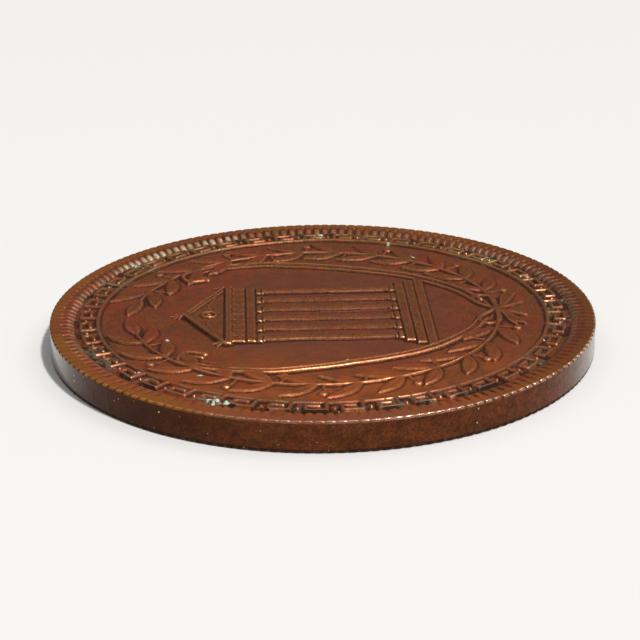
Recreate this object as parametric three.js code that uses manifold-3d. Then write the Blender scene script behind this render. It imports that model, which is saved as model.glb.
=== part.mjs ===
// An academic medallion: one struck bronze disc, lying on its reverse with the obverse up.
// Millimetres, +Z up, +Y towards the top of the design. The origin is the middle of the face it rests on.
// Obverse: a rim of dentils, a band of keys, a laurel wreath tied with a bow,
// two long ribbon ribs and, between them, a temple front. Reverse: the same rim round a plain field.
import * as THREE from "three";
import { mergeVertices } from "three/addons/utils/BufferGeometryUtils.js";
import { ConvexGeometry } from "three/addons/geometries/ConvexGeometry.js";
import Module from "manifold-3d";

const wasm = await Module();
wasm.setup();

// The disc.
const medalDiameter = 57;
const medalThickness = 3.3;
const fieldDepth = 0.48; // from the rim's top down to the field, on both faces
const rootDepth = 0.25; // how far a motif's foot is sunk below the field

const medalRadius = medalDiameter / 2;
const fieldTop = medalThickness - fieldDepth;

// The dentils, parted by V grooves that are deep at the band and shallow at the edge.
const dentilCount = 170;
const dentilLength = 2.65;
const dentilShoulder = 0.9; // the length of a dentil's inner end, which slopes down to the field
const grooveShare = 0.56; // of the pitch, at the top of that slope
const grooveShareAtEdge = 0.34;
const grooveSill = 0.06; // from the field up to a groove's floor, at the band
const grooveDepth = fieldDepth - grooveSill;
const grooveDepthAtEdge = 0.1;

// The band: square keys that stand on a ring line, each a stroke out, across, back and in.
const keyCount = 45;
const bandGap = 0.35; // from the dentils to the band
const bandWidth = 2.15;
const bandRelief = 0.31;
const keyStroke = 0.4;
const keyWidth = 2.35; // along the band
const hookRise = 0.78; // from the band's inner side to the underside of the inward stroke
const hookLength = 1.25;
const bandOuterRadius = medalRadius - dentilLength - bandGap;
const bandInnerRadius = bandOuterRadius - bandWidth;

// The wreath: two branches that rise from the bow and nearly meet at the top.
const stemWidth = 0.48;
const stemRelief = 0.26;
const stemTipAngle = 166; // degrees round from the bow
const leafNodes = 12; // pairs of leaves on a branch
const firstLeafAngle = 17;
const lastLeafAngle = 158;
const leafLength = 4.9;
const leafWidth = 1.62;
const leafRelief = 0.38;
const leafSpread = 33; // degrees from the stem
const berryDiameter = 0.97;
const berryRelief = 0.36;
const berryReach = 2.1; // from the stem to a berry's middle
const berryLag = 1.6; // degrees that a berry's stalk starts below its pair of leaves
const wreathGap = 0.85; // from the berries to the band
const wreathHighRadius = bandInnerRadius - wreathGap - berryDiameter / 2 - berryReach;
const wreathDrift = 1.55; // how much nearer the middle the stems start
const wreathLowRadius = wreathHighRadius - wreathDrift;

// The bow.
const bowRelief = 0.32;
const bowLoopLength = 4.4;
const bowLoopWidth = 2.1;
const bowBand = 0.53; // the ribbon's width on the loops
const bowLoopTilt = 20; // degrees above level
const tailLength = 5.1;
const tailWidth = 0.92;
const tailRelief = 0.27;
const tailTilt = -24;
const stemEndLength = 3.4;
const stemEndWidth = 0.62;
const stemEndTilt = -58;
const knotSize = 1.43;
const knotRelief = 0.38;

// The ribs: a broad and a narrow ridge side by side, from the bow up past the temple to a curl.
const ribWidth = 0.57;
const ribRelief = 0.34;
const innerRibWidth = 0.34;
const innerRibRelief = 0.27;
const ribGap = 0.4;
// Points of the right rib, as shares of the wreath's low radius.
const ribLine = [
  { across: 0.155, up: -0.93 },
  { across: 0.372, up: -0.806 },
  { across: 0.62, up: -0.527 },
  { across: 0.775, up: -0.124 },
  { across: 0.86, up: 0.31 },
  { across: 0.798, up: 0.651 },
  { across: 0.682, up: 0.806 },
  { across: 0.566, up: 0.775 },
  { across: 0.589, up: 0.667 },
];

// The temple front, built up from the underside of its lowest step.
const templeWidth = 19.4; // over the lowest step
const templeHeight = 26.2;
const templeLift = 1.7; // how far its middle lies above the medal's
const templeFoot = templeLift - templeHeight / 2;
const stepCount = 3;
const stepHeight = 1.1;
const stepInset = 0.54; // on each side
const stepRelief = 0.24;
const stepRise = 0.05; // each step stands this much prouder than the one below
const pedimentHeight = 4.45;
const architraveHeight = 1.1;
const friezeHeight = 1.44;
const corniceHeight = 0.8;
const entablatureHeight = architraveHeight + friezeHeight + corniceHeight;
const columnCount = 6;
const columnHeight = templeHeight - stepCount * stepHeight - entablatureHeight - pedimentHeight;
const columnDiameter = 1.43;
const columnTopShare = 0.86; // the shaft's top width as a share of its foot's
const columnRelief = 0.41;
const plinthWidth = 2.05;
const plinthHeight = 0.67;
const topStepMargin = 0.75; // from the end plinths to the top step's ends
const beamWidth = templeWidth - 2 * (stepCount - 1) * stepInset - 2 * topStepMargin;
const columnPitch = (beamWidth - plinthWidth) / (columnCount - 1);
const beamRelief = 0.35;
const friezeRelief = 0.24;
const corniceRelief = 0.41;
const corniceOverhang = 0.62;
const triglyphCount = 2 * columnCount - 1;
const triglyphWidth = 0.74;
const rakeWidth = 0.76;
const tympanumRelief = 0.13;
const bossDiameter = 1.87;
const bossRelief = 0.37;
const acroterionWidth = 0.9;

// How fine the curves are.
const ringLineSides = 60;
const ribSteps = 15;
const stemSteps = 14;
const berrySides = 5;
const columnSides = 8;
const bossSides = 8;

const turn = 2 * Math.PI;
const radians = (degrees) => (degrees * Math.PI) / 180;
const at = (x, y) => new THREE.Vector2(x, y);
const onCircle = (radius, angle) => at(radius * Math.cos(angle), radius * Math.sin(angle));

// A geometry as a solid that can be joined to others.
function solidOf(geometry) {
  const bare = geometry.clone();
  bare.deleteAttribute("normal");
  bare.deleteAttribute("uv");
  const merged = mergeVertices(bare, 1e-4);
  return new wasm.Manifold(
    new wasm.Mesh({
      numProp: 3,
      vertProperties: merged.attributes.position.array,
      triVerts: new Uint32Array(merged.index.array),
    }),
  );
}

function geometryOf(solid) {
  const mesh = solid.getMesh();
  const geometry = new THREE.BufferGeometry();
  geometry.setAttribute("position", new THREE.BufferAttribute(mesh.vertProperties, 3));
  geometry.setIndex(new THREE.BufferAttribute(mesh.triVerts, 1));
  geometry.computeVertexNormals();
  return geometry;
}

// All the solids as one, joined two by two.
function joined(solids) {
  if (solids.length === 1) return solids[0];
  const middle = Math.floor(solids.length / 2);
  return joined(solids.slice(0, middle)).add(joined(solids.slice(middle)));
}

// A flat-topped motif on the obverse field: an outline carried up to its relief.
function raised(outline, relief, hole) {
  const shape = new THREE.Shape(outline);
  if (hole) shape.holes.push(new THREE.Path(hole));
  const options = { depth: rootDepth + relief, bevelEnabled: false, steps: 1 };
  return solidOf(new THREE.ExtrudeGeometry(shape, options).translate(0, 0, fieldTop - rootDepth));
}

// A crowned motif: the convex body between outline points sunk in the field and crest points above it.
function crowned(outline, crests) {
  const foot = fieldTop - rootDepth;
  const points = outline.map((p) => new THREE.Vector3(p.x, p.y, foot));
  for (const crest of crests) points.push(new THREE.Vector3(crest.x, crest.y, fieldTop + crest.relief));
  return solidOf(new ConvexGeometry(points));
}

function rectangle(middleX, lowY, width, height) {
  const left = middleX - width / 2;
  const right = middleX + width / 2;
  return [at(left, lowY), at(right, lowY), at(right, lowY + height), at(left, lowY + height)];
}

function regular(diameter, sides, middle) {
  return [...Array(sides).keys()].map((i) => onCircle(diameter / 2, (i * turn) / sides).add(middle));
}

// Points given along and across a direction, carried to their place on the design.
function placed(points, origin, direction) {
  const along = at(Math.cos(direction), Math.sin(direction));
  return points.map(({ x, y, relief }) => {
    const moved = at(origin.x + x * along.x - y * along.y, origin.y + x * along.y + y * along.x);
    return Object.assign(moved, { relief });
  });
}

// A strip of one width along a line of points.
function strip(points, width) {
  const left = [];
  const right = [];
  points.forEach((point, i) => {
    const before = points[Math.max(i - 1, 0)];
    const after = points[Math.min(i + 1, points.length - 1)];
    const along = after.clone().sub(before).normalize();
    const across = at(-along.y, along.x).multiplyScalar(width / 2);
    left.push(point.clone().add(across));
    right.unshift(point.clone().sub(across));
  });
  return [...left, ...right];
}

// The disc with its dentils. Round each face run, for every dentil, the groove on its near side
// and the two corners of its top, first at the head of its sloping end and then on the edge.
function dentilledDisc() {
  const pitch = turn / dentilCount;
  const places = [];
  const triangles = [];
  const add = (radius, angle, level) => {
    places.push(radius * Math.cos(angle), radius * Math.sin(angle), level);
    return places.length / 3 - 1;
  };
  const face = (level) => {
    const inner = medalRadius - dentilLength;
    const head = inner + dentilShoulder;
    const rings = [];
    for (let i = 0; i < dentilCount; i++) {
      const angle = i * pitch;
      const before = (grooveShare * pitch) / 2;
      const beforeEdge = (grooveShareAtEdge * pitch) / 2;
      rings.push({
        field: add(inner, angle, level(fieldDepth)),
        groove: add(inner, angle, level(grooveDepth)),
        near: add(head, angle + before, level(0)),
        far: add(head, angle + pitch - before, level(0)),
        edgeGroove: add(medalRadius, angle, level(grooveDepthAtEdge)),
        edgeNear: add(medalRadius, angle + beforeEdge, level(0)),
        edgeFar: add(medalRadius, angle + pitch - beforeEdge, level(0)),
      });
    }
    return { middle: add(0, 0, level(fieldDepth)), rings };
  };
  // A fan over a ring of vertices that go round it counterclockwise, seen from outside.
  const fill = (ring, flipped) => {
    for (let i = 1; i < ring.length - 1; i++) {
      if (flipped) triangles.push(ring[0], ring[i + 1], ring[i]);
      else triangles.push(ring[0], ring[i], ring[i + 1]);
    }
  };
  const obverse = face((depth) => medalThickness - depth);
  const reverse = face((depth) => depth);
  for (const [side, flipped] of [[obverse, false], [reverse, true]]) {
    side.rings.forEach((a, i) => {
      const b = side.rings[(i + 1) % dentilCount];
      fill([side.middle, a.field, b.field], flipped);
      fill([a.far, b.field, a.field, a.near], flipped);
      fill([a.far, b.groove, b.field], flipped);
      fill([a.field, a.groove, a.near], flipped);
      fill([a.near, a.edgeNear, a.edgeFar, a.far], flipped);
      fill([a.near, a.groove, a.edgeGroove, a.edgeNear], flipped);
      fill([a.far, a.edgeFar, b.edgeGroove, b.groove], flipped);
    });
  }
  obverse.rings.forEach((a, i) => {
    const next = (i + 1) % dentilCount;
    const b = obverse.rings[next];
    const below = reverse.rings[i];
    const belowNext = reverse.rings[next];
    const lower = [below.edgeGroove, below.edgeNear, below.edgeFar, belowNext.edgeGroove];
    fill([a.edgeNear, a.edgeGroove, ...lower, b.edgeGroove, a.edgeFar], false);
  });
  const geometry = new THREE.BufferGeometry();
  geometry.setAttribute("position", new THREE.Float32BufferAttribute(places, 3));
  geometry.setIndex(triangles);
  return solidOf(geometry);
}

// One key, with x out from the middle of the medal and y along the band.
function key(angle) {
  const top = bandOuterRadius;
  const hookFoot = bandInnerRadius + hookRise;
  const hookTip = keyWidth - hookLength;
  const outline = [
    { x: bandInnerRadius, y: 0 },
    { x: top, y: 0 },
    { x: top, y: keyWidth },
    { x: hookFoot, y: keyWidth },
    { x: hookFoot, y: hookTip },
    { x: hookFoot + keyStroke, y: hookTip },
    { x: hookFoot + keyStroke, y: keyWidth - keyStroke },
    { x: top - keyStroke, y: keyWidth - keyStroke },
    { x: top - keyStroke, y: keyStroke },
    { x: bandInnerRadius, y: keyStroke },
  ];
  const centred = outline.map(({ x, y }) => ({ x, y: keyWidth / 2 - y }));
  return raised(placed(centred, at(0, 0), angle), bandRelief);
}

function band() {
  const middle = at(0, 0);
  const outer = regular(2 * (bandInnerRadius + keyStroke), ringLineSides, middle);
  const inner = regular(2 * bandInnerRadius, ringLineSides, middle);
  const keys = [...Array(keyCount).keys()].map((i) => key((i * turn) / keyCount));
  return [raised(outer, bandRelief, inner), ...keys];
}

// A branch's stem, by the degrees round from the bow; side is 1 on the right and -1 on the left.
function stemPoint(round, side) {
  const radius = THREE.MathUtils.lerp(wreathLowRadius, wreathHighRadius, round / stemTipAngle);
  return onCircle(radius, radians(-90 + side * round));
}

function stemDirection(round, side) {
  const step = stemPoint(round + 1, side).sub(stemPoint(round, side));
  return Math.atan2(step.y, step.x);
}

// Half of a pointed leaf's outline, and its ridge, as shares of the leaf's length, width and relief.
const leafHalf = [
  { along: 0, half: 0 },
  { along: 0.28, half: 0.45 },
  { along: 0.66, half: 0.42 },
  { along: 1, half: 0 },
];
const leafRidge = [
  { along: 0.08, rise: 0.55 },
  { along: 0.5, rise: 1 },
  { along: 0.88, rise: 0.55 },
];
function leaf(origin, direction) {
  const edge = (side) =>
    leafHalf.map((row) => ({ x: row.along * leafLength, y: side * row.half * leafWidth }));
  const ridge = leafRidge.map((row) => ({ x: row.along * leafLength, y: 0, relief: row.rise * leafRelief }));
  return crowned(placed([...edge(1), ...edge(-1)], origin, direction), placed(ridge, origin, direction));
}

function berry(middle) {
  const top = regular(0.5 * berryDiameter, berrySides, middle);
  return crowned(
    regular(berryDiameter, berrySides, middle),
    top.map((p) => Object.assign(p, { relief: berryRelief })),
  );
}

function branch(side) {
  const line = [...Array(stemSteps + 1).keys()].map((i) => stemPoint((i * stemTipAngle) / stemSteps, side));
  const solids = [raised(strip(line, stemWidth), stemRelief)];
  for (let i = 0; i < leafNodes; i++) {
    const round = THREE.MathUtils.lerp(firstLeafAngle, lastLeafAngle, i / (leafNodes - 1));
    const origin = stemPoint(round, side);
    const direction = stemDirection(round, side);
    for (const aside of [1, -1]) solids.push(leaf(origin, direction + aside * radians(leafSpread)));
    // Berries sit on the outer and the inner side by turns.
    const outward = i % 2 ? -1 : 1;
    const foot = stemPoint(round - berryLag, side);
    const middle = onCircle(berryReach, direction - side * outward * radians(90)).add(foot);
    solids.push(berry(middle), raised(strip([foot, middle], 0.6 * stemWidth), 0.8 * stemRelief));
  }
  solids.push(leaf(stemPoint(stemTipAngle - 1, side), stemDirection(stemTipAngle, side)));
  return solids;
}

// The bow: two loops, two tails, the crossed stem ends and the knot over them.
function bow() {
  const knot = at(0, -wreathLowRadius);
  const solids = [];
  const loop = (inset) => {
    const length = bowLoopLength - inset;
    const half = bowLoopWidth / 2 - inset;
    return [
      { x: 2 * inset, y: 0 },
      { x: 0.45 * length, y: -0.8 * half },
      { x: 0.8 * length, y: -half },
      { x: length, y: 0 },
      { x: 0.8 * length, y: half },
      { x: 0.45 * length, y: 0.8 * half },
    ];
  };
  const tail = [
    { x: 0, y: -tailWidth / 3 },
    { x: 0.5 * tailLength, y: -0.7 * tailWidth },
    { x: tailLength, y: -0.5 * tailWidth },
    { x: 0.86 * tailLength, y: 0 },
    { x: tailLength, y: 0.5 * tailWidth },
    { x: 0.5 * tailLength, y: 0.3 * tailWidth },
    { x: 0, y: tailWidth / 3 },
  ];
  for (const side of [1, -1]) {
    const towards = (degrees) => radians(side > 0 ? degrees : 180 - degrees);
    const loopWay = towards(bowLoopTilt);
    const end = [knot, onCircle(stemEndLength, towards(stemEndTilt)).add(knot)];
    solids.push(
      raised(placed(loop(0), knot, loopWay), bowRelief, placed(loop(bowBand), knot, loopWay)),
      raised(placed(tail, knot, towards(tailTilt)), tailRelief),
      raised(strip(end, stemEndWidth), stemRelief),
    );
  }
  solids.push(raised(rectangle(0, knot.y - knotSize / 2, knotSize, knotSize), knotRelief));
  return solids;
}

// One side's ridges. The narrow one runs on the temple's side of the broad one.
function ribs(side) {
  const points = ribLine.map((row) => new THREE.Vector3(row.across, row.up, 0).multiplyScalar(wreathLowRadius));
  const curve = new THREE.CatmullRomCurve3(points, false, "centripetal");
  const line = curve.getSpacedPoints(ribSteps).map((p) => at(side * p.x, p.y));
  const inset = ribWidth / 2 + ribGap + innerRibWidth / 2;
  const inner = strip(line, 2 * inset);
  const inward = side > 0 ? inner.slice(0, line.length) : inner.slice(line.length);
  return [raised(strip(line, ribWidth), ribRelief), raised(strip(inward, innerRibWidth), innerRibRelief)];
}

function steps() {
  return [...Array(stepCount).keys()].map((i) => {
    const tread = rectangle(0, templeFoot + i * stepHeight, templeWidth - 2 * i * stepInset, stepHeight);
    return raised(tread, stepRelief + i * stepRise);
  });
}

// Round-backed columns, each on a plinth and under an abacus of the same size.
function columns(foot) {
  const solids = [];
  for (let i = 0; i < columnCount; i++) {
    const x = (i - (columnCount - 1) / 2) * columnPitch;
    const radius = columnDiameter / 2;
    const shaft = new THREE.CylinderGeometry(columnTopShare * radius, radius, columnHeight - plinthHeight, columnSides);
    shaft.scale(1, 1, columnRelief / radius).translate(x, foot + columnHeight / 2, fieldTop);
    solids.push(solidOf(shaft));
    for (const low of [foot, foot + columnHeight - plinthHeight]) {
      solids.push(raised(rectangle(x, low, plinthWidth, plinthHeight), beamRelief));
    }
  }
  return solids;
}

function entablature(foot) {
  const frieze = foot + architraveHeight;
  const cornice = frieze + friezeHeight;
  const solids = [
    raised(rectangle(0, foot, beamWidth, architraveHeight), beamRelief),
    raised(rectangle(0, frieze, beamWidth, friezeHeight), friezeRelief),
    raised(rectangle(0, cornice, beamWidth + 2 * corniceOverhang, corniceHeight), corniceRelief),
  ];
  for (let i = 0; i < triglyphCount; i++) {
    const x = (i / (triglyphCount - 1) - 0.5) * (beamWidth - triglyphWidth);
    solids.push(raised(rectangle(x, frieze, triglyphWidth, friezeHeight), beamRelief));
  }
  return solids;
}

// A gable with a sunk tympanum, a round boss in it and a lozenge on each corner.
function pediment(foot) {
  const half = beamWidth / 2 + corniceOverhang;
  const slope = pedimentHeight / half;
  const drop = rakeWidth * Math.hypot(1, slope);
  const innerHalf = half - drop / slope;
  const left = at(-half, foot);
  const right = at(half, foot);
  const apex = at(0, foot + pedimentHeight);
  const underside = [at(-innerHalf, foot), at(0, apex.y - drop), at(innerHalf, foot)];
  const boss = regular(bossDiameter, bossSides, at(0, foot + 0.36 * pedimentHeight));
  const solids = [
    raised([left, right, apex], tympanumRelief),
    raised([right, apex, left, ...underside], corniceRelief),
    raised(boss, bossRelief),
  ];
  const inset = acroterionWidth / 2;
  for (const corner of [at(inset - half, foot), at(half - inset, foot), apex]) {
    const size = acroterionWidth;
    const lozenge = [at(0, -0.2 * size), at(size / 2, 0.6 * size), at(0, 1.4 * size), at(-size / 2, 0.6 * size)];
    solids.push(raised(lozenge.map((p) => p.add(corner)), beamRelief));
  }
  return solids;
}

function temple() {
  const columnFoot = templeFoot + stepCount * stepHeight;
  const beamFoot = columnFoot + columnHeight;
  return [...steps(), ...columns(columnFoot), ...entablature(beamFoot), ...pediment(beamFoot + entablatureHeight)];
}

const reliefs = [...band(), ...branch(1), ...branch(-1), ...bow(), ...ribs(1), ...ribs(-1), ...temple()];
const bronze = new THREE.MeshStandardMaterial({ color: 0x6e4430, roughness: 0.42, metalness: 0.85 });
const mesh = new THREE.Mesh(geometryOf(joined([dentilledDisc(), joined(reliefs)])), bronze);
mesh.name = "medal";

const group = new THREE.Group();
group.add(mesh);

export default group;
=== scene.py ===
# The academic medallion as it lies on its reverse: one struck piece, its relief worked finely
# over the same sizes as the solid, with a worn brown patina. Lengths are in millimetres until
# the mesh is made, which is in metres.
import math

import bpy
import numpy as np
from mathutils import Matrix, Vector


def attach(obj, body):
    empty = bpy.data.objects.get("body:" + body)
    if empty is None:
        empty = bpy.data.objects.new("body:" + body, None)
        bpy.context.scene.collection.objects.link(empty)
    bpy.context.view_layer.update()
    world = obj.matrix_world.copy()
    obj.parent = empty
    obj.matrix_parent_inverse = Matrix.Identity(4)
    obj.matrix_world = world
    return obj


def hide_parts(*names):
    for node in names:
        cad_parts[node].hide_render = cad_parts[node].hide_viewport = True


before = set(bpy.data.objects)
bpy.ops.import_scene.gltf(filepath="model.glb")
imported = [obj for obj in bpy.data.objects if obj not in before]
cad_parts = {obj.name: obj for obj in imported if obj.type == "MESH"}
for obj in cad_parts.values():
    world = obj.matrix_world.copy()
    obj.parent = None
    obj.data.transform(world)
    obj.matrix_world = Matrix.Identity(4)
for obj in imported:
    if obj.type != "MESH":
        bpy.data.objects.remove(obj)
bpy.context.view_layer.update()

MM = 0.001

# The disc, its dentils and its band, as in the solid.
MEDAL_RADIUS = 28.5
THICKNESS = 3.3
FIELD_DEPTH = 0.48
FIELD_TOP = THICKNESS - FIELD_DEPTH
DENTILS = 170
DENTIL_LENGTH = 2.65
DENTIL_RADIUS = MEDAL_RADIUS - DENTIL_LENGTH
DENTIL_SHOULDER = 0.9
KEYS = 45
BAND_OUTER = DENTIL_RADIUS - 0.35
BAND_WIDTH = 2.15
BAND_INNER = BAND_OUTER - BAND_WIDTH
BAND_RELIEF = 0.31
KEY_STROKE = 0.4
KEY_WIDTH = 2.35
HOOK_RISE = 0.78
HOOK_LENGTH = 1.25
KEY_SWELL = 0.04
KEY_FLAT = 0.7
KEY_UNEVEN = 0.12
PELLET_DIAMETER = 0.46
PELLET_INSET = 0.7
GROUND_DEPTH = 0.09

# The wreath.
STEM_WIDTH = 0.48
STEM_RELIEF = 0.26
STEM_TIP = 166
STEM_TAPER = 0.7
STEM_STEPS = 60
LEAF_NODES = 12
FIRST_LEAF = 17
LAST_LEAF = 158
LEAF_LENGTH = 4.9
LEAF_WIDTH = 1.62
LEAF_RELIEF = 0.38
LEAF_SPREAD = 33
BERRY_DIAMETER = 0.97
BERRY_RELIEF = 0.36
BERRY_REACH = 2.1
BERRY_LAG = 1.6
STALK_WIDTH = 0.26
STALK_RELIEF = 0.2
WREATH_HIGH = BAND_INNER - 0.85 - BERRY_DIAMETER / 2 - BERRY_REACH
WREATH_LOW = WREATH_HIGH - 1.55

# The bow, from its knot: (along, aside) of a tail's two edges and of a loop, and their directions.
TAIL_TOP = [(0, 0), (1.7, 0.05), (3.4, 0.5), (5.0, 0.45)]
TAIL_LOW = [(0, 0), (1.7, -0.5), (3.4, -0.6), (5.1, -0.5)]
TAIL_NOTCH = 4.4
TAIL_TURN = -24
LOOP = [(0, 0), (1.9, 0.8), (3.5, 1.05), (4.35, 0), (3.5, -1.05), (1.9, -0.8), (0, 0)]
LOOP_TURN = 20
STEM_END = 3.4
STEM_END_TURN = -58
RIBBON_HEM = 0.24
RIBBON_RELIEF = 0.29

# One rib's middle line as (x, y) shares of the wreath's radius, and the rib's broad and narrow ridges.
RIB_LINE = [
    (0.155, -0.93), (0.372, -0.806), (0.62, -0.527), (0.775, -0.124), (0.86, 0.31),
    (0.798, 0.651), (0.682, 0.806), (0.566, 0.775), (0.589, 0.667),
]
RIB_WIDTH = 0.57
RIB_RELIEF = 0.36
NARROW_RIB_WIDTH = 0.34
NARROW_RIB_RELIEF = 0.28
NARROW_RIB_OFFSET = 0.855
BETWEEN_RIBS_OFFSET = 0.43
BETWEEN_RIBS_RELIEF = 0.1
CURL_END = 0.9

# The temple front.
TEMPLE_WIDTH = 19.4
TEMPLE_HEIGHT = 26.2
TEMPLE_FOOT = 1.7 - TEMPLE_HEIGHT / 2
STEPS = 3
STEP_HEIGHT = 1.1
STEP_INSET = 0.54
STEP_RELIEF = 0.24
STEP_RISE = 0.05
NOSING_HEIGHT = 0.24
NOSING_RELIEF = 0.31
PEDIMENT_HEIGHT = 4.45
ARCHITRAVE = 1.1
FRIEZE = 1.44
CORNICE = 0.8
COLUMNS = 6
COLUMN_DIAMETER = 1.43
COLUMN_RELIEF = 0.41
PLINTH_WIDTH = 2.05
PLINTH_HEIGHT = 0.67
PLINTH_RELIEF = 0.35
COLLAR_HEIGHT = 0.32
COLLAR_SHARE = 0.84
COLLAR_RELIEF = 0.39
COLUMN_TAPER = 0.14
FLUTES = 12
BEAM_WIDTH = TEMPLE_WIDTH - 2 * (STEPS - 1) * STEP_INSET - 1.5
HALF_BEAM = BEAM_WIDTH / 2
BEAM_RELIEF = 0.35
WALL_COURSES = 9
WALL_RELIEF = 0.07
DOOR_SHARE = 0.56
TRIGLYPHS = 2 * COLUMNS - 1
TRIGLYPH_WIDTH = 0.74
TRIGLYPH_RELIEF = 0.36
OVERHANG = 0.62
CORNICE_RELIEF = 0.41
HALF_CORNICE = HALF_BEAM + OVERHANG
CORNICE_DENTILS = 41
TOP_STEP = TEMPLE_FOOT + STEPS * STEP_HEIGHT
COLUMN_HEIGHT = TEMPLE_HEIGHT - STEPS * STEP_HEIGHT - ARCHITRAVE - FRIEZE - CORNICE - PEDIMENT_HEIGHT
HEAD = TOP_STEP + COLUMN_HEIGHT
FRIEZE_FOOT = HEAD + ARCHITRAVE
CORNICE_FOOT = FRIEZE_FOOT + FRIEZE
GABLE_FOOT = CORNICE_FOOT + CORNICE
APEX = np.array([0, GABLE_FOOT + PEDIMENT_HEIGHT])
# The sprays of palm on the gable's corners and top: (lean, length) of each blade.
CORNER_SPRAY = [(-38, 0.9), (0, 1.2), (38, 0.9)]
TOP_SPRAY = [(-60, 0.9), (-30, 1.15), (0, 1.35), (30, 1.15), (60, 0.9)]
# The tendril beside the boss, from the boss: (along, up).
TENDRIL = [(1.1, -0.2), (2.6, 0.1), (4.4, -0.5), (6.2, -0.85)]

# The height map of the obverse field, from which the mesh takes its relief.
CELL = 0.05
HALF_MAP = 26.4
CELLS = int(round(2 * HALF_MAP / CELL)) + 1
axis = np.linspace(-HALF_MAP, HALF_MAP, CELLS)
relief = np.zeros((CELLS, CELLS))
rng = np.random.default_rng(11)


def window(x0, x1, y0, y1):
    """The part of the map over a rectangle, with the places of its cells."""
    i0, i1 = np.clip(np.floor((np.array([x0, x1]) + HALF_MAP) / CELL) + [0, 2], 0, CELLS).astype(int)
    j0, j1 = np.clip(np.floor((np.array([y0, y1]) + HALF_MAP) / CELL) + [0, 2], 0, CELLS).astype(int)
    x, y = np.meshgrid(axis[i0:i1], axis[j0:j1])
    return (slice(j0, j1), slice(i0, i1)), x, y


def lay(place, height):
    """Raises the map to this height where it is lower."""
    relief[place] = np.maximum(relief[place], height)


def press(place, depth):
    """Cuts a groove into what is laid already."""
    relief[place] = np.maximum(relief[place] - depth, 0)


def ease(t):
    t = np.clip(t, 0, 1)
    return t * t * (3 - 2 * t)


def crown(u, flat=0.0):
    """A rounded cross-section, 1 in the middle and 0 at u = 1."""
    v = np.clip((np.abs(u) - flat) / (1 - flat), 0, 1)
    return np.sqrt(np.maximum(1 - v**2, 0))


def segments(points, width, height):
    """Each stretch of a line with its window, its distance map, and its width and height there."""
    points = np.asarray(points, float)
    widths = np.broadcast_to(np.asarray(width, float), len(points))
    heights = np.broadcast_to(np.asarray(height, float), len(points))
    for k in range(len(points) - 1):
        a, b = points[k], points[k + 1]
        reach = max(widths[k], widths[k + 1]) / 2 + 2 * CELL
        lo = np.minimum(a, b) - reach
        hi = np.maximum(a, b) + reach
        place, x, y = window(lo[0], hi[0], lo[1], hi[1])
        run = b - a
        t = np.clip(((x - a[0]) * run[0] + (y - a[1]) * run[1]) / max(run @ run, 1e-9), 0, 1)
        away = np.hypot(x - a[0] - t * run[0], y - a[1] - t * run[1])
        width_there = widths[k] + (widths[k + 1] - widths[k]) * t
        height_there = heights[k] + (heights[k + 1] - heights[k]) * t
        yield place, away, width_there, height_there


def ridge(points, width, height, flat=0.25):
    """A raised line, rounded across."""
    for place, away, w, h in segments(points, width, height):
        lay(place, h * crown(away / (w / 2), flat))


def furrow(points, width, depth):
    """A line cut into what is laid already."""
    for place, away, w, h in segments(points, width, depth):
        press(place, h * ease(1 - away / (w / 2)))


def block(x0, x1, y0, y1, height, bevel=0.13):
    """A raised rectangle with bevelled edges."""
    place, x, y = window(x0, x1, y0, y1)
    inside = np.minimum(np.minimum(x - x0, x1 - x), np.minimum(y - y0, y1 - y))
    lay(place, height * ease(inside / bevel))


def edge_distance(x, y, points):
    """Distance to a polygon's outline, positive inside."""
    points = np.asarray(points, float)
    away = np.full(x.shape, 1e9)
    inside = np.zeros(x.shape, bool)
    for a, b in zip(points, np.roll(points, -1, axis=0)):
        run = b - a
        t = np.clip(((x - a[0]) * run[0] + (y - a[1]) * run[1]) / max(run @ run, 1e-9), 0, 1)
        away = np.minimum(away, np.hypot(x - a[0] - t * run[0], y - a[1] - t * run[1]))
        crosses = (a[1] > y) != (b[1] > y)
        with np.errstate(divide="ignore", invalid="ignore"):
            at = a[0] + (y - a[1]) * run[0] / run[1]
        inside ^= crosses & (x < at)
    return np.where(inside, away, -away)


def plate(points, height, bevel=0.13):
    """A raised polygon with bevelled edges."""
    points = np.asarray(points, float)
    place, x, y = window(points[:, 0].min(), points[:, 0].max(), points[:, 1].min(), points[:, 1].max())
    lay(place, height * ease(edge_distance(x, y, points) / bevel))


def local(origin, direction, reach):
    """A window round a point, with its cells' places along and across a direction."""
    place, x, y = window(origin[0] - reach, origin[0] + reach, origin[1] - reach, origin[1] + reach)
    c, s = math.cos(direction), math.sin(direction)
    return place, (x - origin[0]) * c + (y - origin[1]) * s, (y - origin[1]) * c - (x - origin[0]) * s


def dome(middle, diameter, height, squash=1.0, pit=0.0):
    """A round swelling, narrower from side to side where it is squashed, with a pit in its top."""
    place, u, v = local(middle, 0.0, diameter * max(1, squash))
    away = np.hypot(u / squash, v) / (diameter / 2)
    lay(place, height * crown(away) * (1 - pit * ease(1 - away / 0.45)))


# A leaf's outline: its half width as a share of the widest, at shares of its length.
LEAF_ALONG = [0, 0.12, 0.3, 0.5, 0.7, 0.86, 0.95, 1]
LEAF_HALF = [0.14, 0.5, 0.9, 1.0, 0.84, 0.5, 0.22, 0]


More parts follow.
